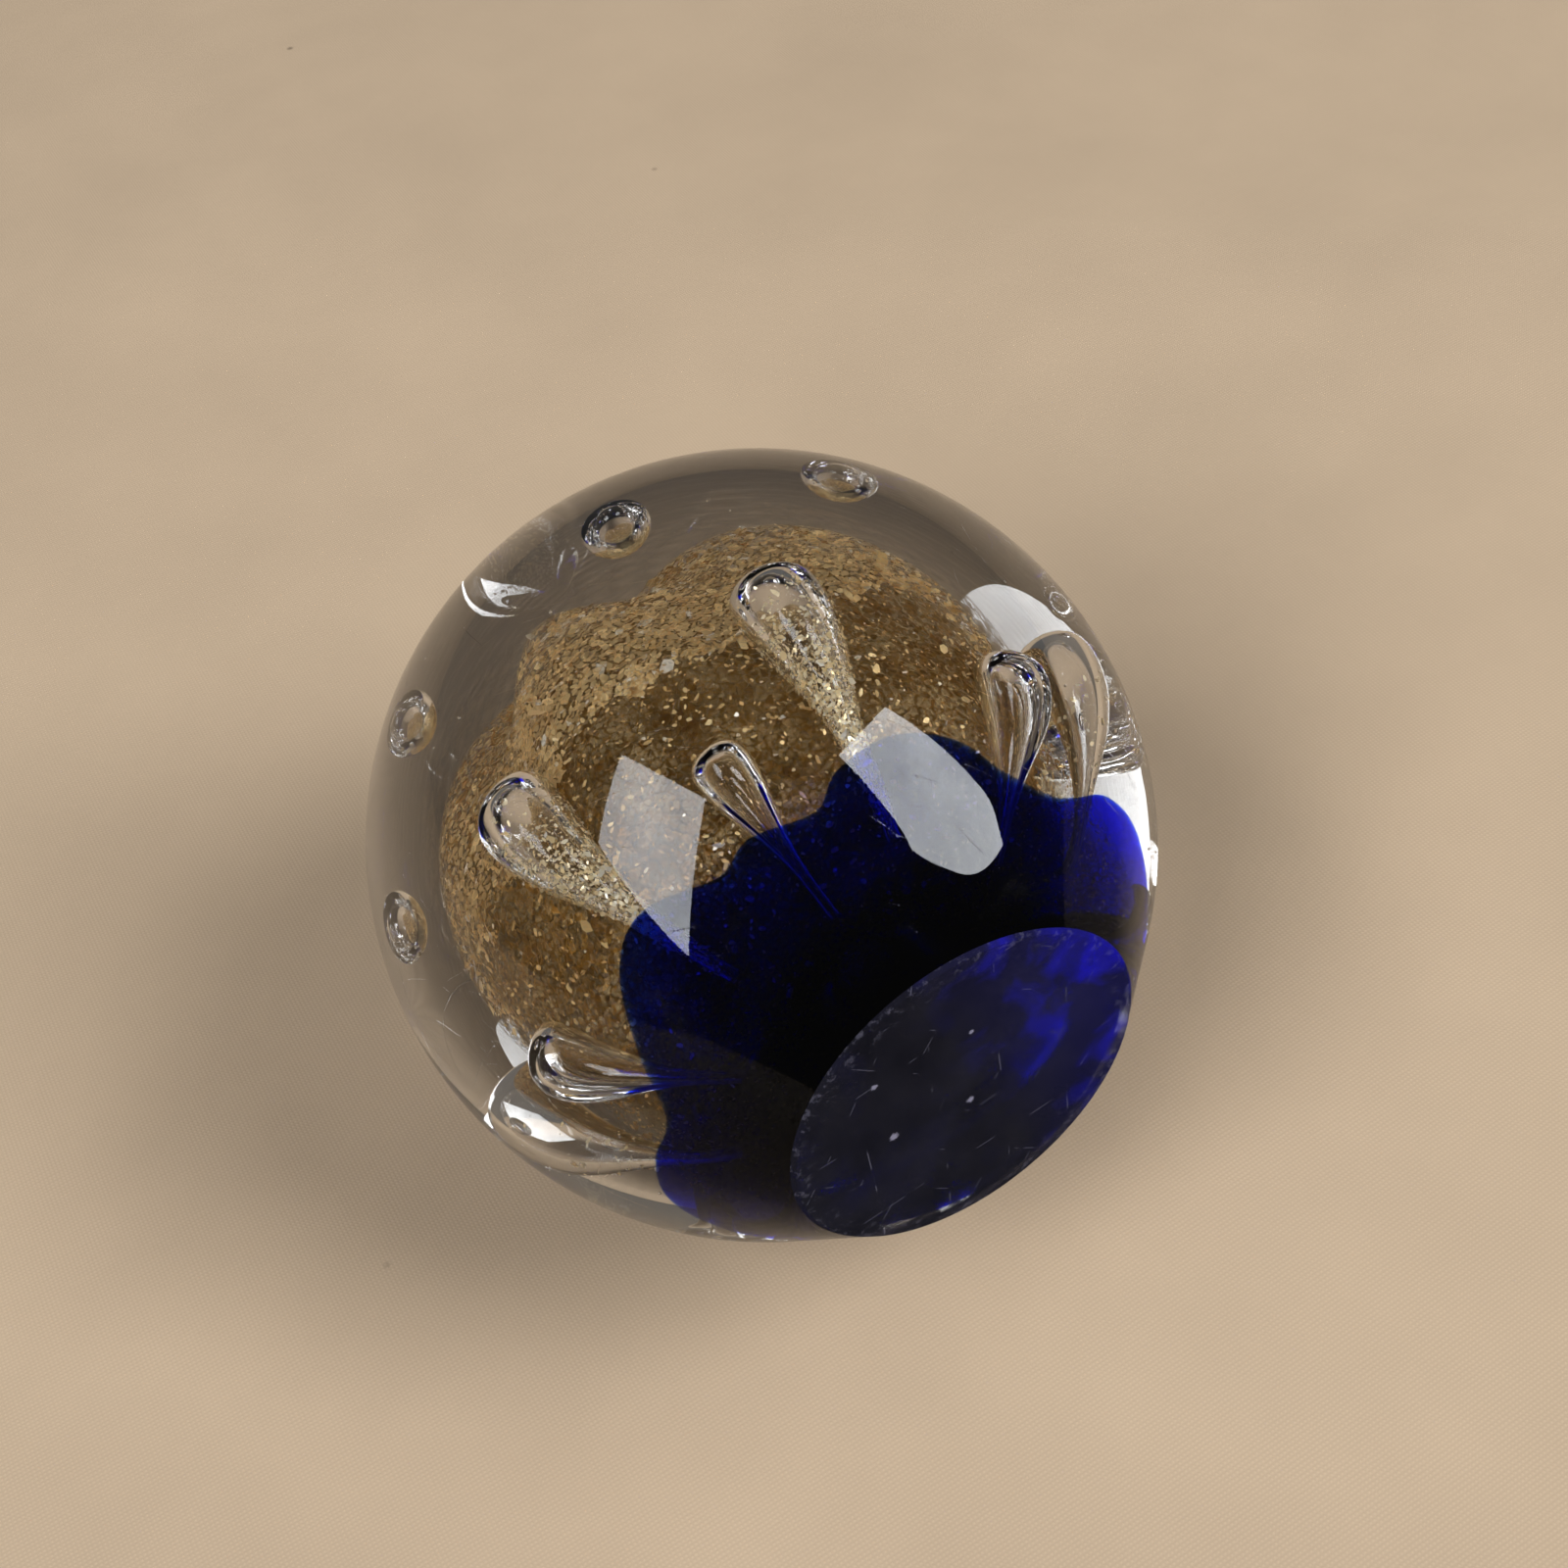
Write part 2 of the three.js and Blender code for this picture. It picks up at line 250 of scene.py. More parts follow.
class AirSizes(PropertyGroup):
    lower_radius: FloatProperty(
        name="Lower drops", description="Head radius of the lower row", default=0.0027, unit="LENGTH"
    )
    upper_radius: FloatProperty(
        name="Upper drops", description="Head radius of the upper row", default=0.0037, unit="LENGTH"
    )
    lower_head: FloatProperty(
        name="Lower head",
        description="Polar angle of the lower heads",
        default=math.radians(110),
        subtype="ANGLE",
    )
    lower_tail: FloatProperty(
        name="Lower tail",
        description="Polar angle of the lower tails",
        default=math.radians(146),
        subtype="ANGLE",
    )
    upper_head: FloatProperty(
        name="Upper head",
        description="Polar angle of the upper heads",
        default=math.radians(83),
        subtype="ANGLE",
    )
    upper_tail: FloatProperty(
        name="Upper tail",
        description="Polar angle of the upper tails",
        default=math.radians(138),
        subtype="ANGLE",
    )
    tail_share: FloatProperty(
        name="Tail", description="Tail radius over head radius", default=0.17, min=0.05, max=1
    )
    taper: FloatProperty(
        name="Taper", description="How soon a drop narrows behind its head", default=2.4, min=0.5, max=4
    )


class StageSettings(PropertyGroup):
    camera_distance: FloatProperty(
        name="Camera distance",
        description="From the camera to the ball's middle",
        default=0.2028,
        unit="LENGTH",
    )
    camera_elevation: FloatProperty(
        name="Camera elevation",
        description="Above the horizon",
        default=math.radians(-39.84),
        subtype="ANGLE",
    )
    camera_roll: FloatProperty(
        name="Camera roll",
        description="Turn of the camera about its view",
        default=math.radians(-41.1),
        subtype="ANGLE",
    )
    camera_lens: FloatProperty(
        name="Lens", description="Focal length in millimetres on a 36 mm sensor", default=45
    )
    cloth_colour: FloatVectorProperty(
        name="Cloth colour",
        description="Of the sheet under the ball",
        default=(0.40, 0.298, 0.199),
        subtype="COLOR",
        min=0,
        max=1,
    )
    window_strength: FloatProperty(
        name="Window strength", description="Brightness of the two soft windows", default=12, min=0
    )


# ---------------------------------------------------------------- shapes shared by the pieces


def spline(points, count):
    """Points along a uniform Catmull-Rom curve through points of a plane."""
    knots = np.array(points, float)
    last = len(knots) - 1
    found = []
    for t in np.linspace(0, last, count):
        i = min(int(t), last - 1)
        u = t - i
        before, a, b, after = (knots[min(max(k, 0), last)] for k in (i - 1, i, i + 1, i + 2))
        bend = (b - before) / 2
        leave = (after - a) / 2
        found.append(
            (2 * u**3 - 3 * u**2 + 1) * a
            + (u**3 - 2 * u**2 + u) * bend
            + (3 * u**2 - 2 * u**3) * b
            + (u**3 - u**2) * leave
        )
    return np.array(found)


def turned(outline, steps=TURN_STEPS):
    """Vertices and faces of a (radius, height) outline turned about the axis; an end on the axis closes."""
    outline = np.array(outline, float)
    closed = [outline[i][0] < 1e-9 for i in (0, -1)]
    rings = outline[closed[0] : len(outline) - closed[1]]
    turn = np.linspace(0, 2 * np.pi, steps, endpoint=False)
    spread = np.stack([np.sin(turn), -np.cos(turn)], axis=1)
    points = [
        np.column_stack([spread * radius, np.full(steps, height)]) for radius, height in rings
    ]
    vertices = np.concatenate(points)
    faces = []
    for ring in range(len(rings) - 1):
        for i in range(steps):
            j = (i + 1) % steps
            faces.append((ring * steps + i, ring * steps + j, (ring + 1) * steps + j, (ring + 1) * steps + i))
    if closed[0]:
        vertices = np.vstack([vertices, [0, 0, outline[0][1]]])
        hub = len(vertices) - 1
        faces += [(hub, (i + 1) % steps, i) for i in range(steps)]
    if closed[1]:
        vertices = np.vstack([vertices, [0, 0, outline[-1][1]]])
        hub = len(vertices) - 1
        base = (len(rings) - 1) * steps
        faces += [(hub, base + i, base + (i + 1) % steps) for i in range(steps)]
    return vertices, faces


def new_piece(name, vertices, faces, smooth=True):
    """A mesh object of its own, in the scene."""
    mesh = bpy.data.meshes.new(name)
    mesh.from_pydata([tuple(v) for v in vertices], [], faces)
    mesh.validate()
    mesh.update()
    if smooth:
        mesh.shade_smooth()
    piece = bpy.data.objects.new(name, mesh)
    bpy.context.scene.collection.objects.link(piece)
    return piece


def finish_piece(piece, slot, *nodes):
    """Says which body a piece rides on and the nodes it stands for; slot is not used."""
    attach(piece, BODY)
    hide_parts(*nodes)
    return piece


def direction(azimuth, polar):
    """A unit vector, or an array of them, from angles in radians."""
    side = np.sin(polar)
    return np.stack([side * np.sin(azimuth), -side * np.cos(azimuth), np.cos(polar) + 0 * azimuth], axis=-1)


def rib_share(veil, azimuth, polar):
    """Share of its radius by which the veil's ribs push it out."""
    side = np.sin(polar)
    reach = np.where(polar < np.pi / 2, 1 - (1 - side) ** 3, side**3)
    return veil.rib * reach * np.cos(azimuth * RIBS)


def worked_share(veil, azimuth, polar):
    """The same for the ribs as the maker's hand left them, a little out of step."""
    crests = np.array(RIB_CRESTS, float)
    around = np.mod(np.degrees(azimuth) - crests[0], 360)
    starts = np.append(np.mod(crests - crests[0], 360), 360)
    phase = np.interp(around, starts, np.linspace(0, 360, RIBS + 1))
    return HAND_RIB * rib_share(veil, np.radians(phase), polar)


def ribbed(veil, vertices):
    """The vertices pushed out along the veil's ribs."""
    middle = np.array([0, 0, veil.height])
    offset = vertices - middle
    polar = np.arctan2(np.hypot(offset[:, 0], offset[:, 1]), offset[:, 2])
    azimuth = np.arctan2(offset[:, 0], -offset[:, 1])
    pushed = offset * (1 + worked_share(veil, azimuth, polar))[:, None]
    pushed[:, 2] *= np.where(pushed[:, 2] > 0, CROWN_STRETCH, 1)
    return middle + pushed


# ---------------------------------------------------------------- nodes

WAVE_SCALE = 0.314  # over the pitch, gives the scale of a wave texture
THREAD_PITCH = 0.47 * MM  # of the cloth


def new_material(name):
    """A material with an empty node tree."""
    material = bpy.data.materials.new(name)
    material.use_nodes = True
    material.node_tree.nodes.clear()
    return material


def node(tree, kind, settings=None, **inputs):
    """A new node; its inputs are given by name or as i0, i1..., each a value or another node's output."""
    made = tree.nodes.new(kind)
    for key, value in (settings or {}).items():
        setattr(made, key, value)
    for key, value in inputs.items():
        numbered = key[0] == "i" and key[1:].isdigit()
        socket = made.inputs[int(key[1:]) if numbered else key.replace("_", " ")]
        if isinstance(value, bpy.types.NodeSocket):
            tree.links.new(value, socket)
        else:
            socket.default_value = value
    return made


def output(tree, surface, volume=None):
    """The end of a material's tree."""
    end = node(tree, "ShaderNodeOutputMaterial", Surface=surface)
    if volume is not None:
        tree.links.new(volume, end.inputs["Volume"])


def placed(tree):
    """Coordinates in metres on the object."""
    return node(tree, "ShaderNodeTexCoord").outputs["Object"]


def remapped(tree, value, low, high, to_low=0.0, to_high=1.0):
    """The value carried from one range to another, and held at its ends."""
    made = node(
        tree, "ShaderNodeMapRange", Value=value, From_Min=low, From_Max=high, To_Min=to_low, To_Max=to_high
    )
    return made.outputs["Result"]


def maths(tree, operation, a, b=0.0):
    """A sum, product or other operation on two values."""
    return node(tree, "ShaderNodeMath", {"operation": operation}, i0=a, i1=b).outputs[0]


def noise(tree, coordinates, scale, detail=2.0, roughness=0.5, distortion=0.0):
    """Cloudy noise from 0 to 1."""
    return node(
        tree,
        "ShaderNodeTexNoise",
        Vector=coordinates,
        Scale=scale,
        Detail=detail,
        Roughness=roughness,
        Distortion=distortion,
    ).outputs["Fac"]


def scratches(tree, coordinates, turn, spacing, width):
    """1 on fine straight scratches, broken up by noise, and 0 elsewhere."""
    turned_coordinates = node(tree, "ShaderNodeMapping", Vector=coordinates, Rotation=turn).outputs["Vector"]
    bands = node(
        tree,
        "ShaderNodeTexWave",
        {"wave_type": "BANDS"},
        Vector=turned_coordinates,
        Scale=WAVE_SCALE / spacing,
        Distortion=3.0,
        Detail=2.0,
        Detail_Scale=0.4,
    ).outputs["Fac"]
    line = remapped(tree, bands, 1 - width, 1.0)
    broken = remapped(tree, noise(tree, turned_coordinates, 260, 3), 0.56, 0.62)
    return maths(tree, "MULTIPLY", line, broken)


def crystal_material(ball):
    """Polished crystal, with the faint swirl of a hand-worked surface and fine handling scratches."""
    material = new_material("polished_crystal")
    tree = material.node_tree
    where = placed(tree)
    marks = maths(
        tree,
        "MAXIMUM",
        scratches(tree, where, (0.3, 0.9, 0.2), 0.0024, 0.0006),
        scratches(tree, where, (1.9, 0.4, 1.1), 0.0031, 0.0005),
    )
    swirl = noise(tree, where, 42, 2.0, 0.4, 0.4)
    gentle = node(tree, "ShaderNodeBump", Height=swirl, Strength=0.05, Distance=0.0004).outputs["Normal"]
    marked = node(tree, "ShaderNodeBump", Height=marks, Strength=0.25, Distance=0.00002, Normal=gentle)
    shader = node(
        tree,
        "ShaderNodeBsdfPrincipled",
        Base_Color=(*ball.glass_colour, 1),
        Roughness=0.0,
        IOR=GLASS_IOR,
        Transmission_Weight=1.0,
        Normal=marked.outputs["Normal"],
    )
    output(tree, shader.outputs[0])
    return material


def pit(tree, where, x, y, radius):
    """1 in the middle of a pit in the foot, 0 at its rim."""
    middle = node(tree, "ShaderNodeVectorMath", {"operation": "DISTANCE"}, i0=where, i1=(x, y, 0.0))
    ragged = maths(tree, "MULTIPLY", noise(tree, where, 2400, 2.0), radius)
    away = maths(tree, "ADD", middle.outputs["Value"], ragged)
    return remapped(tree, away, radius * 0.9, radius * 1.3, 1.0, 0.0)


def foot_material(ball):
    """The ground flat: satin glass with scratches, pits and a worn rim, and the cup's blue glowing through as
    painted light, a blue diffuse stronger towards +X.
    """
    material = new_material("ground_foot")
    tree = material.node_tree
    where = placed(tree)
    grain = noise(tree, where, 5200, 3.0, 0.6)
    smudge = noise(tree, where, 130, 4.0, 0.55)
    marks = scratches(tree, where, (0.0, 0.0, 0.5), 0.0047, 0.002)
    for turn, spacing in ((1.3, 0.0062), (2.2, 0.0053), (2.75, 0.0071)):
        marks = maths(tree, "MAXIMUM", marks, scratches(tree, where, (0.0, 0.0, turn), spacing, 0.0015))
    pits = 0.0
    for x, y, radius in FOOT_PITS:
        pits = maths(tree, "MAXIMUM", pits, pit(tree, where, x * MM, y * MM, radius * MM))
    reach = node(tree, "ShaderNodeVectorMath", {"operation": "LENGTH"}, i0=where).outputs["Value"]
    worn = maths(
        tree,
        "MULTIPLY",
        remapped(tree, reach, 0.0150, 0.0180),
        remapped(tree, noise(tree, where, 900, 5.0, 0.7), 0.52, 0.62, 0.0, 0.10),
    )
    height = maths(tree, "SUBTRACT", grain, maths(tree, "ADD", marks, maths(tree, "MULTIPLY", pits, 3.0)))
    bump = node(tree, "ShaderNodeBump", Height=height, Strength=0.22, Distance=0.00004).outputs["Normal"]
    glass = node(
        tree,
        "ShaderNodeBsdfRefraction",
        Color=(*ball.glass_colour, 1),
        Roughness=remapped(tree, smudge, 0.3, 0.7, 0.10, 0.18),
        IOR=GLASS_IOR,
        Normal=bump,
    )
    frost = node(tree, "ShaderNodeBsdfDiffuse", Color=(0.40, 0.38, 0.50, 1), Roughness=0.6)
    shown = maths(tree, "MAXIMUM", remapped(tree, smudge, 0.3, 0.7, 0.014, 0.028), worn)
    for part, share in ((marks, 0.14), (pits, 0.40)):
        shown = maths(tree, "MAXIMUM", shown, maths(tree, "MULTIPLY", part, share))
    frosted = node(tree, "ShaderNodeMixShader", i0=shown, i1=glass.outputs[0], i2=frost.outputs[0])
    # Painted light: a blue diffuse over the foot stands in for the cup's blue light coming through, stronger
    # towards +X.
    along = node(tree, "ShaderNodeSeparateXYZ", Vector=where).outputs["X"]
    glow = maths(
        tree,
        "MULTIPLY",
        remapped(tree, along, 0.001, 0.015, 0.02, 1.0),
        remapped(tree, noise(tree, where, 170, 2.0, 0.5, 0.6), 0.50, 0.68, 0.05, 0.36),
    )
    painted_blue_glow = node(tree, "ShaderNodeBsdfDiffuse", Color=(0.012, 0.008, 0.62, 1))
    mix = node(tree, "ShaderNodeMixShader", i0=glow, i1=frosted.outputs[0], i2=painted_blue_glow.outputs[0])
    output(tree, mix.outputs[0])
    return material


def gather_material(name, ball, depth_colour=None, depth_density=0.0):
    """The seam between two gathers: all but invisible, with wisps of haze, over glass that may be tinted."""
    material = new_material(name)
    tree = material.node_tree
    wisp = remapped(tree, noise(tree, placed(tree), 90, 5.0, 0.6, 1.2), 0.62, 0.80, 0.0, 0.02)
    clear = node(tree, "ShaderNodeBsdfTransparent", Color=(1, 1, 1, 1))
    haze = node(tree, "ShaderNodeBsdfDiffuse", Color=(*ball.glass_colour, 1))
    mix = node(tree, "ShaderNodeMixShader", i0=wisp, i1=clear.outputs[0], i2=haze.outputs[0])
    if depth_colour is None:
        output(tree, mix.outputs[0])
    else:
        depth = node(tree, "ShaderNodeVolumeAbsorption", Color=(*depth_colour, 1), Density=depth_density)
        output(tree, mix.outputs[0], depth.outputs[0])
    return material


def air_material(name):
    """A polished wall of air inside the crystal."""
    material = new_material(name)
    tree = material.node_tree
    ripple = noise(tree, placed(tree), 260, 2.0, 0.5, 0.3)
    bump = node(tree, "ShaderNodeBump", Height=ripple, Strength=0.10, Distance=0.0002).outputs["Normal"]
    glass = node(
        tree, "ShaderNodeBsdfGlass", Color=(1, 1, 1, 1), Roughness=0.0, IOR=AIR_IN_GLASS_IOR, Normal=bump
    )
    output(tree, glass.outputs[0])
    return material


def cobalt_material(cup):
    """Cobalt glass fused in the crystal: no bend at its skin, some streaks, and its colour from its depth."""
    material = new_material("cobalt_glass")
    tree = material.node_tree
    where = placed(tree)
    drawn = node(tree, "ShaderNodeMapping", Vector=where, Scale=(1, 1, 0.25)).outputs["Vector"]
    streak = remapped(tree, noise(tree, drawn, 420, 4.0, 0.6, 0.8), 0.45, 0.75)
    tint = node(
        tree,
        "ShaderNodeMix",
        {"data_type": "RGBA"},
        i0=streak,
        i6=(1.0, 1.0, 1.0, 1),
        i7=(0.55, 0.60, 0.92, 1),
    ).outputs[2]
    clear = node(tree, "ShaderNodeBsdfTransparent", Color=tint)
    depth = node(
        tree, "ShaderNodeVolumeAbsorption", Color=(*cup.cobalt_colour, 1), Density=cup.cobalt_density
    )
    output(tree, clear.outputs[0], depth.outputs[0])
    return material


def mica_tone(tree, where, dark, light):
    """From a dark to a light mica, flake by flake and in broad clouds, with a few silver flakes."""
    flake = node(tree, "ShaderNodeNewGeometry").outputs["Random Per Island"]
    cloud = noise(tree, where, 160, 3.0)
    tone = maths(tree, "ADD", maths(tree, "MULTIPLY", flake, 0.7), maths(tree, "MULTIPLY", cloud, 0.5))
    warm = node(
        tree,
        "ShaderNodeMix",
        {"data_type": "RGBA"},
        i0=remapped(tree, tone, 0.25, 0.95),
        i6=(*dark, 1),
        i7=(*light, 1),
    ).outputs[2]
    silver = remapped(tree, flake, 0.90, 0.93, 0.0, 0.85)
    return node(
        tree, "ShaderNodeMix", {"data_type": "RGBA"}, i0=silver, i6=warm, i7=(0.88, 0.84, 0.76, 1)
    ).outputs[2]


def thick_band(tree, veil, where):
    """1 where the mica lies thick, over the crown, falling to 0 below its edge."""
    offset = node(
        tree, "ShaderNodeVectorMath", {"operation": "SUBTRACT"}, i0=where, i1=(0, 0, veil.height)
    ).outputs[0]
    unit = node(tree, "ShaderNodeVectorMath", {"operation": "NORMALIZE"}, i0=offset).outputs[0]
    rise = node(tree, "ShaderNodeSeparateXYZ", Vector=unit).outputs["Z"]
    ragged = maths(tree, "ADD", rise, maths(tree, "MULTIPLY", noise(tree, where, 330, 3.0), 0.10))
    level = math.cos(math.radians(BAND_EDGE)) + 0.05
    return remapped(tree, ragged, level - 0.03, level + 0.03)


def flake_material(name, dark, light):
    """One mica flake: a half-metallic scale with a fine cleavage grain."""
    material = new_material(name)
    tree = material.node_tree
    where = placed(tree)
    grain = noise(tree, where, 9000, 2.0)
    bump = node(tree, "ShaderNodeBump", Height=grain, Strength=0.3, Distance=0.00003).outputs["Normal"]
    shader = node(
        tree,
        "ShaderNodeBsdfPrincipled",
        Base_Color=mica_tone(tree, where, dark, light),
        Metallic=0.35,
        Roughness=0.30,
        Normal=bump,
    )
    output(tree, shader.outputs[0])
    return material


def dust_material(veil):
    """Mica dust between the flakes: worm-like grains with clear glass between them."""
    material = new_material("mica_dust")
    tree = material.node_tree
    where = placed(tree)
    wander = node(tree, "ShaderNodeTexNoise", Vector=where, Scale=900, Detail=2.0).outputs["Color"]
    shifted = node(
        tree, "ShaderNodeVectorMath", {"operation": "MULTIPLY_ADD"}, i0=wander, i1=(0.0008,) * 3, i2=where
    ).outputs[0]
    cells = node(
        tree, "ShaderNodeTexVoronoi", {"feature": "DISTANCE_TO_EDGE"}, Vector=shifted, Scale=1500.0
    ).outputs["Distance"]
    density = noise(tree, where, 210, 3.0)
    grain = remapped(tree, cells, 0.09, 0.16)
    sparse = remapped(tree, density, 0.35, 0.6, 0.05, 0.26)
    most = maths(tree, "ADD", sparse, maths(tree, "MULTIPLY", thick_band(tree, veil, where), 0.35))
    cover = maths(tree, "MULTIPLY", grain, most)
    shader = node(
        tree,
        "ShaderNodeBsdfPrincipled",
        Base_Color=mica_tone(tree, where, veil.umber, veil.gold),
        Metallic=0.3,
        Roughness=0.5,
    )
    clear = node(tree, "ShaderNodeBsdfTransparent", Color=(1, 1, 1, 1))
    mix = node(tree, "ShaderNodeMixShader", i0=cover, i1=clear.outputs[0], i2=shader.outputs[0])
    output(tree, mix.outputs[0])
    return material


def cloth_material(name, colour, painted_shade):
    """Close-woven cloth, a little soiled, seen from its face only.

    It is darkened by painted shade round the place under the ball, by the given share, and its near end is
    painted darker where it shows in mirror images.
    """
    material = new_material(name)
    tree = material.node_tree
    where = placed(tree)
    threads = []
    for turn in (0.0, math.pi / 2):
        rotated = node(tree, "ShaderNodeMapping", Vector=where, Rotation=(0, 0, turn)).outputs["Vector"]
        threads.append(
            node(
                tree,
                "ShaderNodeTexWave",
                {"wave_type": "BANDS"},
                Vector=rotated,
                Scale=WAVE_SCALE / THREAD_PITCH,
                Distortion=0.5,
                Detail=1.0,
            ).outputs["Fac"]
        )
    weave = maths(tree, "MULTIPLY", threads[0], threads[1])
    cloud = noise(tree, where, 9, 4.0, 0.55)
    soil = noise(tree, where, 34, 5.0, 0.6)
    bright = maths(
        tree,
        "ADD",
        remapped(tree, cloud, 0.3, 0.7, 0.93, 1.05),
        maths(tree, "ADD", remapped(tree, soil, 0.3, 0.7, -0.03, 0.03), maths(tree, "MULTIPLY", weave, 0.10)),
    )
    # Painted shade: the cloth darkens round a point under the ball, standing in for the ball's shadow on it.
    away = node(tree, "ShaderNodeVectorMath", {"operation": "DISTANCE"}, i0=where, i1=PAINTED_SHADE_MIDDLE)
    painted_shade_round_ball = remapped(tree, away.outputs["Value"], 0.028, 0.068, 1 - painted_shade, 1.0)
    # Painted shade in reflections: seen by glossy rays the cloth is darker, most of all at its near end.
    glossy = node(tree, "ShaderNodeLightPath").outputs["Is Glossy Ray"]
    lengthways = node(tree, "ShaderNodeSeparateXYZ", Vector=where).outputs["Y"]
    painted_reflection_shade = maths(tree, "MULTIPLY", glossy, remapped(tree, lengthways, -0.045, -0.010, 0.85, 0.1))
    mirrored = maths(tree, "SUBTRACT", 1.0, painted_reflection_shade)
    bright = maths(tree, "MULTIPLY", bright, maths(tree, "MULTIPLY", painted_shade_round_ball, mirrored))
    specks = node(tree, "ShaderNodeTexVoronoi", Vector=where, Scale=34.0).outputs["Distance"]
    speck = remapped(tree, specks, 0.012, 0.03, 0.55, 1.0)
    colour_value = node(
        tree,
        "ShaderNodeVectorMath",
        {"operation": "SCALE"},
        i0=tuple(colour),
        Scale=maths(tree, "MULTIPLY", bright, speck),
    ).outputs[0]
    bump = node(tree, "ShaderNodeBump", Height=weave, Strength=0.35, Distance=0.00008).outputs["Normal"]
    cloth = node(
        tree,
        "ShaderNodeBsdfPrincipled",
        Base_Color=colour_value,
        Roughness=0.85,
        Specular_IOR_Level=0.2,
        Normal=bump,
    )
    clear = node(tree, "ShaderNodeBsdfTransparent", Color=(1, 1, 1, 1))
    behind = node(tree, "ShaderNodeNewGeometry").outputs["Backfacing"]
    mix = node(tree, "ShaderNodeMixShader", i0=behind, i1=cloth.outputs[0], i2=clear.outputs[0])
    output(tree, mix.outputs[0])
    return material


def window_material(name, colour, strength):
    """A soft window, as through thin cloud; its mirror images are toned down."""
    material = new_material(name)
    tree = material.node_tree
    cloud = remapped(tree, noise(tree, placed(tree), 1.6, 2.0), 0.3, 0.7, 0.8 * strength, 1.2 * strength)
    glossy = node(tree, "ShaderNodeLightPath").outputs["Is Glossy Ray"]
    mirrored = remapped(tree, glossy, 0.0, 1.0, 1.0, 0.55)
    glow = node(
        tree, "ShaderNodeEmission", Color=(*colour, 1), Strength=maths(tree, "MULTIPLY", cloud, mirrored)
    )
    output(tree, glow.outputs[0])
    return material


# ---------------------------------------------------------------- pieces


def ball_outline(ball):
    """From the middle of the foot up to the crown; the side leaves the foot as a straight cone."""
    start = (ball.foot_radius + ball.foot_bevel, ball.foot_bevel)
    across = start[0] / ball.equator_radius
    below = (ball.equator_height - start[1]) / ball.pole_radius
    touch = math.atan2(across, below) + math.acos(1 / math.hypot(across, below))
    foot = [(radius, 0.0) for radius in np.linspace(0, ball.foot_radius, 24)]
    angles = np.linspace(touch, math.pi, 110)
    side = [
        (ball.equator_radius * math.sin(angle), ball.equator_height - ball.pole_radius * math.cos(angle))
        for angle in angles
    ]
    side[-1] = (0.0, ball.equator_height + ball.pole_radius)
    cone = [
        (start[0] + (side[0][0] - start[0]) * t, start[1] + (side[0][1] - start[1]) * t)
        for t in np.linspace(0, 1, 12)[:-1]
    ]
    return foot + cone + side


class PAPERWEIGHT_OT_casing(Operator):
    """Blow the outer gather of crystal and grind its foot"""

    bl_idname = "paperweight.casing"
    bl_label = "Crystal Casing"

    def execute(self, context):
        ball = context.scene.paperweight_ball
        piece = new_piece("casing_crystal", *turned(ball_outline(ball)))
        mesh = piece.data
        mesh.materials.append(crystal_material(ball))
        mesh.materials.append(foot_material(ball))
        for face in mesh.polygons:
            face.material_index = int(face.center.z < ball.foot_bevel)
        mesh.set_sharp_from_angle(angle=math.radians(20))
        finish_piece(piece, "crystal", "crystal_casing")
        return {"FINISHED"}


def inner_outline(ball):
    """Where the outer gather meets the inner one, closed under the foot and at the top of the dome."""
    wall = spline(SHOULDER_POINTS, 80) * MM
    last = wall[-1][0]
    dome = [
        (ball.dome_radius * math.sin(angle), ball.equator_height + ball.dome_radius * math.cos(angle))
        for angle in np.linspace(math.pi - math.asin(last / ball.dome_radius), 0, 80)
    ]
    lift = 0.15 * MM  # clear of the ground flat and of the cup's foot
    wall[:, 1] = np.maximum(wall[:, 1], lift)
    return [(0.0, lift), *[tuple(p) for p in wall[:-1]], *dome[:-1], (0.0, dome[-1][1])]


def globe(rings, steps):
    """Vertices and faces of a ball of radius 1."""
    angles = np.linspace(0, np.pi, rings + 1)
    outline = [(math.sin(a) if 0 < i < rings else 0.0, -math.cos(a)) for i, a in enumerate(angles)]
    return turned(outline, steps)


def add_seeds(vertices, faces, centres, radii):
    """Adds small globes to a mesh, and returns how many faces there are before them."""
    seed, seed_faces = globe(SEED_RINGS, SEED_STEPS)
    first = len(faces)
    for centre, radius in zip(centres, radii):
        offset = len(vertices)
        vertices = np.vstack([vertices, seed * radius + centre])
        faces += [tuple(v + offset for v in face) for face in seed_faces]
    return vertices, faces, first


class PAPERWEIGHT_OT_inner_gather(Operator):
    """Lay the inner gather of crystal, with its stray seeds of air"""

    bl_idname = "paperweight.inner_gather"
    bl_label = "Inner Gather"

    def execute(self, context):
        ball, veil = context.scene.paperweight_ball, context.scene.paperweight_veil
        chance = np.random.default_rng(CHANCE)
        azimuth = chance.uniform(0, 2 * np.pi, SEED_COUNT)
        polar = np.arccos(chance.uniform(SEED_LOW, 1, SEED_COUNT))
        reach = chance.uniform(veil.radius * 1.12, ball.dome_radius * 0.97, SEED_COUNT)
        centres = direction(azimuth, polar) * reach[:, None] + np.array([0, 0, veil.height])
        radii = chance.uniform(*SEED_RADII, SEED_COUNT) * MM
        vertices, faces = turned(inner_outline(ball))
        vertices, faces, first = add_seeds(vertices, faces, centres, radii)
        piece = new_piece("inner_gather_crystal", vertices, faces)
        piece.data.materials.append(gather_material("inner_gather_seam", ball))
        piece.data.materials.append(air_material("seed_air"))
        for face in piece.data.polygons:
            face.material_index = int(face.index >= first)
        finish_piece(piece, "crystal", "inner_gather")
        return {"FINISHED"}


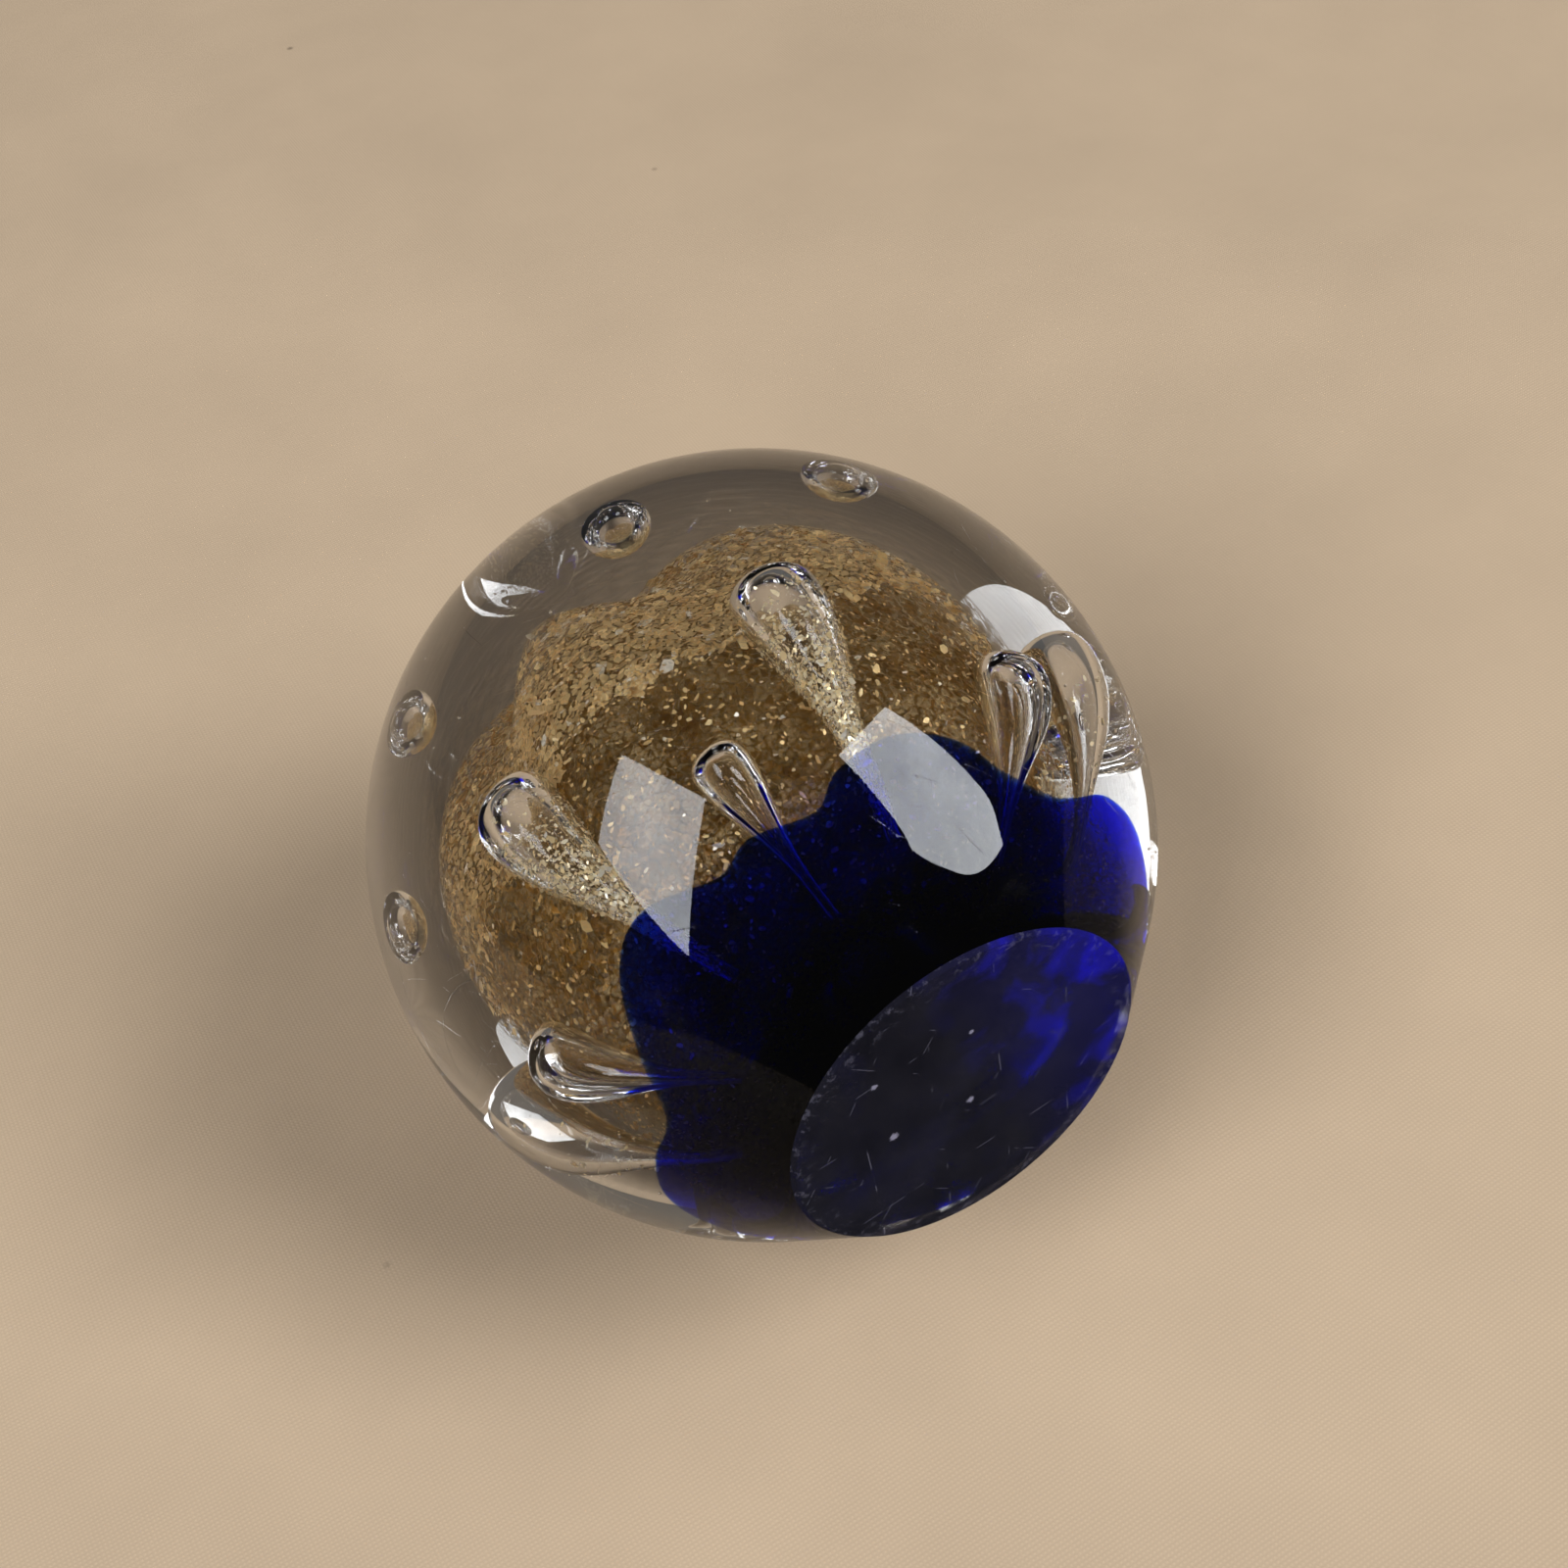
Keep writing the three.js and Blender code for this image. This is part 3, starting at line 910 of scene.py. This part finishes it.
def veil_arc(veil, radius, start, count):
    """An arc about the veil's middle, from a polar angle up to the axis."""
    angles = np.linspace(start, 0, count)[:-1]
    arc = [(radius * math.sin(a), veil.height + radius * math.cos(a)) for a in angles]
    return [*arc, (0.0, veil.height + radius)]


def veil_skin(veil):
    """The closed skin of the veil's layer: outside, inside and the edge between them at its opening."""
    outside = veil_arc(veil, veil.radius, veil.opening, 90)
    inside = veil_arc(veil, veil.radius - veil.thickness, veil.opening, 90)
    outer, outer_faces = turned(outside)
    inner, inner_faces = turned(inside)
    offset = len(outer)
    faces = outer_faces + [tuple(v + offset for v in reversed(face)) for face in inner_faces]
    for i in range(TURN_STEPS):
        j = (i + 1) % TURN_STEPS
        faces.append((offset + i, offset + j, j, i))
    return ribbed(veil, np.vstack([outer, inner])), faces


def mica_flakes(veil):
    """Flakes through the veil's layer: thick over the crown down to an edge of clumps, sparse below."""
    chance = np.random.default_rng(CHANCE)
    count = veil.flake_count
    azimuth = chance.uniform(0, 2 * np.pi, count)
    polar = np.arccos(chance.uniform(math.cos(veil.opening), 1, count))
    edge = math.radians(BAND_EDGE) + 0.03 * np.sin(7 * azimuth) + 0.02 * np.sin(17 * azimuth + 1)
    thick = polar < edge
    kept = chance.uniform(0, 1, count) < np.where(thick, 1.0, SPARSE_SHARE)
    clumped = np.repeat(chance.uniform(0, 2 * np.pi, CLUMP_COUNT), CLUMP_FLAKES)
    azimuth = np.append(azimuth[kept], clumped + chance.normal(0, 0.028, len(clumped)))
    below = np.repeat(chance.uniform(-0.03, 0.05, CLUMP_COUNT), CLUMP_FLAKES)
    below += chance.normal(0, 0.02, len(clumped))
    polar = np.append(polar[kept], math.radians(BAND_EDGE) + below)
    size = veil.flake_size * np.append(np.where(thick[kept], 1.0, SPARSE_SIZE), np.full(len(clumped), 0.9))
    out = direction(azimuth, polar)
    east = direction(azimuth + np.pi / 2, np.full(len(azimuth), np.pi / 2))
    south = np.cross(out, east)
    depth = chance.uniform(0.06, 0.94, len(azimuth)) * veil.thickness
    centre = ribbed(veil, out * (veil.radius - depth)[:, None] + np.array([0, 0, veil.height]))
    return strewn(chance, centre, out, east, south, size, 0.24)


def strewn(chance, centre, out, east, south, mean_size, tilt):
    """Six-sided flakes at the centres, lying across the outward direction with some tilt."""
    count, corners = len(centre), 6
    spin = chance.uniform(0, 2 * np.pi, count)
    lean = chance.normal(0, tilt, (count, 2))
    along = east * np.cos(spin)[:, None] + south * np.sin(spin)[:, None] + out * lean[:, :1]
    athwart = south * np.cos(spin)[:, None] - east * np.sin(spin)[:, None] + out * lean[:, 1:]
    size = mean_size / 2 * chance.lognormal(0, 0.4, count)
    stretch = chance.uniform(1.0, 1.8, count)
    points = []
    for corner in range(corners):
        angle = 2 * math.pi * corner / corners + chance.uniform(-0.35, 0.35, count)
        reach = size * chance.uniform(0.7, 1.15, count)
        points.append(
            centre
            + along * (reach * stretch * np.cos(angle))[:, None]
            + athwart * (reach / stretch**0.5 * np.sin(angle))[:, None]
        )
    vertices = np.stack(points, axis=1).reshape(-1, 3)
    faces = [tuple(range(i * corners, (i + 1) * corners)) for i in range(count)]
    return vertices, faces


def clinging_flakes(veil, air):
    """Bright mica that the upper drops carried with them, all round behind their clear heads."""
    chance = np.random.default_rng(CHANCE + 1)
    found = []
    for azimuth, width, share in UPPER_ROW:
        radius = air.upper_radius * width
        spine = drop_spine(veil, air, math.radians(azimuth), air.upper_head, air.upper_tail, radius)
        for _ in range(int(CLINGING_COUNT * share)):
            centre, out, sideways, section = spine(chance.triangular(0.14, 0.4, 0.95))
            angle = chance.uniform(0, 2 * math.pi)
            away = math.cos(angle) * out + math.sin(angle) * sideways
            along = np.cross(out, sideways)
            place = centre + away * (section + chance.uniform(0.05, 0.25) * MM)
            found.append((place, away, np.cross(away, along), along))
    return strewn(chance, *np.array(found).swapaxes(0, 1), veil.flake_size * 0.55, 0.25)


class PAPERWEIGHT_OT_mica_veil(Operator):
    """Roll the ribbed core in mica: a dusted skin and thousands of loose flakes"""

    bl_idname = "paperweight.mica_veil"
    bl_label = "Mica Veil"

    def execute(self, context):
        veil = context.scene.paperweight_veil
        vertices, faces = veil_skin(veil)
        starts = []
        for flakes, flake_faces in (mica_flakes(veil), clinging_flakes(veil, context.scene.paperweight_air)):
            starts.append(len(faces))
            offset = len(vertices)
            vertices = np.vstack([vertices, flakes])
            faces = faces + [tuple(v + offset for v in face) for face in flake_faces]
        piece = new_piece("mica_veil_flakes", vertices, faces)
        piece.data.materials.append(dust_material(veil))
        piece.data.materials.append(flake_material("mica_flake", veil.umber, veil.gold))
        piece.data.materials.append(flake_material("bright_mica", veil.gold, (1.0, 0.92, 0.72)))
        for face in piece.data.polygons:
            face.material_index = sum(face.index >= start for start in starts)
        finish_piece(piece, "mica", "mica_veil")
        return {"FINISHED"}


class PAPERWEIGHT_OT_core_gather(Operator):
    """Gather the clear core that the mica lies on"""

    bl_idname = "paperweight.core_gather"
    bl_label = "Core Gather"

    def execute(self, context):
        ball, veil = context.scene.paperweight_ball, context.scene.paperweight_veil
        cup = context.scene.paperweight_cup
        radius = veil.radius - veil.thickness - LAYER_GAP
        neck_angle = math.pi - math.asin(veil.neck_radius / radius)
        bottom = cup.floor_height + LAYER_GAP
        neck_top = veil.height + radius * math.cos(neck_angle)
        outline = [(0.0, bottom)]
        outline += [(veil.neck_radius, bottom + (neck_top - bottom) * t) for t in np.linspace(0, 1, 6)[:-1]]
        outline += veil_arc(veil, radius, neck_angle, 70)
        vertices, faces = turned(outline)
        piece = new_piece("core_gather_crystal", ribbed(veil, vertices), faces)
        tinted = gather_material("core_gather_seam", ball, veil.core_colour, veil.core_density)
        piece.data.materials.append(tinted)
        finish_piece(piece, "crystal", "core_gather")
        return {"FINISHED"}


def rim_height(azimuth):
    """Height of the cup's rim at azimuths in radians."""
    degrees, heights = spline(RIM_POINTS, 600).T
    return np.interp(np.mod(np.degrees(azimuth) - degrees[0], 360), degrees - degrees[0], heights * MM)


def cup_shape(cup):
    """The cup: foot, wall up to the round rim, inside wall and floor, with its petals drawn up and down."""
    wall = spline(CUP_WALL_POINTS, 400) * MM
    lift = 0.05 * MM  # keeps the cup's foot clear of the ground flat

    def wall_radius(height):
        return np.interp(height, wall[:, 1], wall[:, 0])

    tip = cup.petal_tip
    outline = [(radius, lift) for radius in np.linspace(0, wall_radius(lift), 16)[:-1]]
    outline += [(wall_radius(height), height) for height in np.linspace(lift, tip, 40)]
    half_rim = cup.rim / 2
    rim_middle = wall_radius(tip) - half_rim
    rim_angles = np.linspace(0, math.pi, 10)[1:-1]
    outline += [(rim_middle + half_rim * math.cos(a), tip + half_rim * math.sin(a)) for a in rim_angles]
    corner = 3 * MM  # radius between the inside wall and the floor
    heights = np.linspace(tip, cup.floor_height + corner, 20)
    thickness = np.interp(heights, [heights[-1], tip], [cup.wall, cup.rim])
    outline += [(wall_radius(height) - thick, height) for height, thick in zip(heights, thickness)]
    inner = outline[-1][0]
    outline += [
        (inner - corner * (1 - math.cos(a)), cup.floor_height + corner * (1 - math.sin(a)))
        for a in np.linspace(0, math.pi / 2, 8)[1:]
    ]
    outline += [(radius, cup.floor_height) for radius in np.linspace(inner - corner, 0, 8)[1:]]
    vertices, faces = turned(outline)
    floor = cup.floor_height + 1 * MM  # the wall is drawn up or down to the rim from here
    raised = vertices[:, 2] > floor
    azimuth = np.arctan2(vertices[:, 0], -vertices[:, 1])
    radius = np.hypot(vertices[:, 0], vertices[:, 1])
    share = (rim_height(azimuth) - floor) / (tip - floor)
    height = np.where(raised, floor + (vertices[:, 2] - floor) * share, vertices[:, 2])
    moved = radius + wall_radius(height) - wall_radius(vertices[:, 2])
    factor = np.where(raised, moved / np.maximum(radius, 1e-9), 1.0)
    return np.column_stack([vertices[:, 0] * factor, vertices[:, 1] * factor, height]), faces


class PAPERWEIGHT_OT_cobalt_cup(Operator):
    """Wrap the underside in a cup of cobalt glass with five petals"""

    bl_idname = "paperweight.cobalt_cup"
    bl_label = "Cobalt Cup"

    def execute(self, context):
        cup = context.scene.paperweight_cup
        piece = new_piece("cobalt_cup_glass", *cup_shape(cup))
        piece.data.materials.append(cobalt_material(cup))
        finish_piece(piece, "cobalt", "cobalt_cup")
        return {"FINISHED"}


def drop_share(t, head_share, tail, taper):
    """Radius of a drop at a share of its length from the head, over its head radius."""
    if t < head_share:
        return math.sqrt(max(0, 1 - (1 - t / head_share) ** 2))
    along = (t - head_share) / (1 - head_share)
    round_end = math.sqrt(max(0, 1 - ((along - 0.985) / 0.015) ** 2)) if along > 0.985 else 1.0
    return (tail + (1 - tail) * (0.5 + 0.5 * math.cos(math.pi * along)) ** taper) * round_end


def drop_spine(veil, air, azimuth, head, tail, radius):
    """A function of a share of a drop's length: its centre, outward and sideways directions, and radius."""
    reach = veil.radius + DROP_LIFT
    head_angle = radius / (reach + radius)
    start = head - head_angle
    head_share = head_angle / (tail - start)
    sideways = direction(np.float64(azimuth + np.pi / 2), np.float64(np.pi / 2))

    def spine(t):
        polar = start + (tail - start) * t
        section = radius * drop_share(t, head_share, air.tail_share, air.taper)
        out = direction(np.float64(azimuth), np.float64(polar))
        rib = veil.radius * rib_share(veil, azimuth, np.float64(polar))
        centre = out * (reach + rib + section) + np.array([0, 0, veil.height])
        return centre, out, sideways, section

    return spine


def teardrop_shape(spine):
    """A drop of air that lies on the veil, head up, with its tail running down and round under it."""
    length_steps, side_steps = 90, 48
    turn = np.linspace(0, 2 * np.pi, side_steps, endpoint=False)
    rings = []
    for i in range(length_steps + 1):
        t = i / length_steps
        rings.append(spine(min(t**1.5 * 2**0.5 if t < 0.5 else t, 1.0)))
    vertices = [rings[0][0]]
    for centre, out, sideways, section in rings[1:-1]:
        ring = centre + section * (np.cos(turn)[:, None] * out + np.sin(turn)[:, None] * sideways)
        vertices.extend(ring)
    vertices.append(rings[-1][0])
    last = len(vertices) - 1
    faces = []
    for i in range(side_steps):
        j = (i + 1) % side_steps
        faces.append((0, 1 + i, 1 + j))
        for ring in range(length_steps - 2):
            a, b = 1 + ring * side_steps, 1 + (ring + 1) * side_steps
            faces.append((a + i, b + i, b + j, a + j))
        base = 1 + (length_steps - 2) * side_steps
        faces.append((last, base + j, base + i))
    return np.array(vertices), faces


class PAPERWEIGHT_OT_teardrops(Operator):
    """Trap two staggered rows of long air drops on the ribs of the veil"""

    bl_idname = "paperweight.teardrops"
    bl_label = "Air Teardrops"

    def execute(self, context):
        veil, air = context.scene.paperweight_veil, context.scene.paperweight_air
        wall = air_material("drop_air")
        rows = (
            ("lower", LOWER_ROW, air.lower_head, air.lower_tail, air.lower_radius),
            ("upper", UPPER_ROW, air.upper_head, air.upper_tail, air.upper_radius),
        )
        for name, drops, head, tail, radius in rows:
            for i, (azimuth, width, _) in enumerate(drops, 1):
                spine = drop_spine(veil, air, math.radians(azimuth), head, tail, radius * width)
                piece = new_piece(f"{name}_drop_of_air_{i}", *teardrop_shape(spine))
                piece.data.materials.append(wall)
                finish_piece(piece, "air", f"{name}_teardrop_{i}")
        return {"FINISHED"}


class PAPERWEIGHT_OT_beads(Operator):
    """Prick round beads of air under the outer gather"""

    bl_idname = "paperweight.beads"
    bl_label = "Air Beads"

    def execute(self, context):
        ball = context.scene.paperweight_ball
        wall = air_material("bead_air")
        round_bead, faces = globe(BEAD_RINGS, BEAD_STEPS)
        for i, (azimuth, polar, radius, stretch) in enumerate(BEADS, 1):
            out = direction(math.radians(azimuth), math.radians(polar))
            middle = out * ball.dome_radius + np.array([0, 0, ball.equator_height])
            drawn = np.eye(3) + (stretch - 1) * np.outer(out, out)
            piece = new_piece(f"bead_of_air_{i}", round_bead @ drawn * radius * MM + middle, faces)
            piece.data.materials.append(wall)
            finish_piece(piece, "air", f"air_bead_{i}")
        return {"FINISHED"}


# ---------------------------------------------------------------- stage

# The ball lies on its side against a sheet of cloth: the sheet's normal, as azimuth and elevation in degrees
CLOTH_AZIMUTH, CLOTH_ELEVATION = 19.1, -3.8
SHEET_HALF = 1.5  # half the side of the cloth and of the floor
# Painted shade on the cloth round the ball, standing in for its shadow:
CLOTH_PAINTED_SHADE = 0.20  # share by which the cloth darkens under the ball
PAINTED_SHADE_MIDDLE = (-0.012, 0.022, 0.0)  # on the sheet, where it is darkest
# Soft windows: azimuth and elevation in degrees, strength share, and corners across and up over the distance
WINDOWS = [
    ("left_window", -23.3, -15.4, 1.0, [(-0.196, 0.37), (0.172, 0.177), (0.375, -0.498), (-0.32, -0.095)]),
    ("right_window", 56.8, -34.7, 1.3, [(0.057, 0.306), (0.344, 0.093), (0.047, -0.281), (-0.471, -0.122)]),
]
WINDOW_DISTANCE = 2.4
WINDOW_COLOUR = (0.93, 0.96, 1.0)
CAMERA_AIM = (5.6, -2.1, 2.3)  # from the ball's middle to where the camera looks, in millimetres


def add_window(name, azimuth, elevation, share, corners, stage, middle):
    """A window that lights the ball's middle; the camera doesn't see it."""
    towards = Vector(direction(math.radians(azimuth), math.radians(90 - elevation)))
    right = towards.cross(Vector((0, 0, 1))).normalized()
    up = right.cross(towards)
    points = [middle + (towards + right * across + up * rise) * WINDOW_DISTANCE for across, rise in corners]
    panel = new_piece(name, points, [(0, 1, 2, 3)], smooth=False)
    panel.data.materials.append(window_material(name, WINDOW_COLOUR, stage.window_strength * share))
    panel.visible_camera = False


def add_sheet(name, half, material, place):
    """A square sheet with the sides 2 * half, at a place."""
    corners = [(-half, -half, 0), (half, -half, 0), (half, half, 0), (-half, half, 0)]
    sheet = new_piece(name, corners, [(0, 1, 2, 3)])
    sheet.data.materials.append(material)
    sheet.matrix_world = place
    return sheet


def add_floor_light(floor):
    """A soft light from above that falls on the floor alone."""
    lamp = bpy.data.lights.new("floor_light", "AREA")
    lamp.size = 1.2
    lamp.energy = 20
    lit = bpy.data.collections.new("lit_from_above")
    lit.objects.link(floor)
    light = bpy.data.objects.new("floor_light", lamp)
    light.location = (0.3, -0.5, 1.5)
    light.visible_camera = False
    light.light_linking.receiver_collection = lit
    bpy.context.scene.collection.objects.link(light)


def studio_world():
    """A pale backdrop for the camera; the glass and the sheets see a dark room, a little lighter overhead."""
    world = bpy.data.worlds.new("studio")
    world.use_nodes = True
    tree = world.node_tree
    towards = node(tree, "ShaderNodeTexCoord").outputs["Generated"]
    rise = node(tree, "ShaderNodeSeparateXYZ", Vector=towards).outputs["Z"]
    room = remapped(tree, rise, 0.1, 0.8, 0.04, 0.12)
    seen = node(tree, "ShaderNodeLightPath").outputs["Is Camera Ray"]
    background = tree.nodes["Background"]
    background.inputs["Color"].default_value = (0.92, 0.90, 0.88, 1)
    strength = maths(tree, "MAXIMUM", room, maths(tree, "MULTIPLY", seen, 0.62))
    tree.links.new(strength, background.inputs["Strength"])
    return world


class PAPERWEIGHT_OT_stage(Operator):
    """Set the cloth, the floor, the soft windows and the camera"""

    bl_idname = "paperweight.stage"
    bl_label = "Stage"

    def execute(self, context):
        scene = context.scene
        ball, stage = scene.paperweight_ball, scene.paperweight_stage
        middle = Vector((0, 0, ball.equator_height))

        normal = Vector(direction(math.radians(CLOTH_AZIMUTH), math.radians(90 - CLOTH_ELEVATION)))
        touch = middle - normal * (ball.equator_radius + 0.1 * MM)
        turn = normal.to_track_quat("Z", "Y").to_matrix().to_4x4()
        add_sheet(
            "cloth",
            SHEET_HALF,
            cloth_material("beige_cloth", stage.cloth_colour, CLOTH_PAINTED_SHADE),
            Matrix.Translation(touch) @ turn,
        )
        pale = tuple(0.25 + 0.7 * share for share in stage.cloth_colour)
        below = Matrix.Translation((0, 0, -0.2 * MM))
        floor = add_sheet("floor", SHEET_HALF, cloth_material("floor_cloth", pale, 0.0), below)
        for kind in ("diffuse", "glossy", "transmission", "shadow", "volume_scatter"):
            setattr(floor, f"visible_{kind}", False)
        add_floor_light(floor)
        for window in WINDOWS:
            add_window(*window, stage, middle)

        scene.world = studio_world()

        lens = bpy.data.cameras.new("camera")
        lens.lens = stage.camera_lens
        lens.sensor_width = 36
        lens.clip_start = 0.01
        camera = bpy.data.objects.new("camera", lens)
        scene.collection.objects.link(camera)
        back = Vector(direction(0.0, math.pi / 2 - stage.camera_elevation))
        camera.location = middle + back * stage.camera_distance
        aim = middle + Vector(CAMERA_AIM) * MM
        view = (aim - camera.location).normalized()
        level = view.to_track_quat("-Z", "Y").to_matrix()
        camera.rotation_euler = (level @ Matrix.Rotation(stage.camera_roll, 3, "Z")).to_euler()
        scene.camera = camera

        scene.view_settings.view_transform = "Standard"
        scene.cycles.max_bounces = 24
        scene.cycles.glossy_bounces = 16
        scene.cycles.transmission_bounces = 24
        scene.cycles.transparent_max_bounces = 64
        return {"FINISHED"}


# ---------------------------------------------------------------- add-on


class PAPERWEIGHT_PT_panel(Panel):
    """Pieces of the paperweight, in the order they are made"""

    bl_idname = "PAPERWEIGHT_PT_panel"
    bl_label = "Paperweight"
    bl_space_type = "VIEW_3D"
    bl_region_type = "UI"
    bl_category = "Paperweight"

    def draw(self, context):
        for operator in OPERATORS:
            self.layout.operator(operator.bl_idname)
        for group in SETTINGS:
            settings = getattr(context.scene, group)
            box = self.layout.box()
            for name in settings.bl_rna.properties.keys():
                if name not in ("rna_type", "name"):
                    box.prop(settings, name)


OPERATORS = (
    PAPERWEIGHT_OT_casing,
    PAPERWEIGHT_OT_inner_gather,
    PAPERWEIGHT_OT_mica_veil,
    PAPERWEIGHT_OT_core_gather,
    PAPERWEIGHT_OT_cobalt_cup,
    PAPERWEIGHT_OT_teardrops,
    PAPERWEIGHT_OT_beads,
    PAPERWEIGHT_OT_stage,
)
SETTINGS = {
    "paperweight_ball": BallSizes,
    "paperweight_cup": CupSizes,
    "paperweight_veil": VeilSizes,
    "paperweight_air": AirSizes,
    "paperweight_stage": StageSettings,
}
CLASSES = (*SETTINGS.values(), *OPERATORS, PAPERWEIGHT_PT_panel)


def register():
    for kind in CLASSES:
        bpy.utils.register_class(kind)
    for name, kind in SETTINGS.items():
        setattr(bpy.types.Scene, name, PointerProperty(type=kind))


def unregister():
    for name in SETTINGS:
        delattr(bpy.types.Scene, name)
    for kind in reversed(CLASSES):
        bpy.utils.unregister_class(kind)


def main():
    register()
    for operator in OPERATORS:
        group, name = operator.bl_idname.split(".")
        getattr(getattr(bpy.ops, group), name)()


if __name__ == "__main__":
    main()
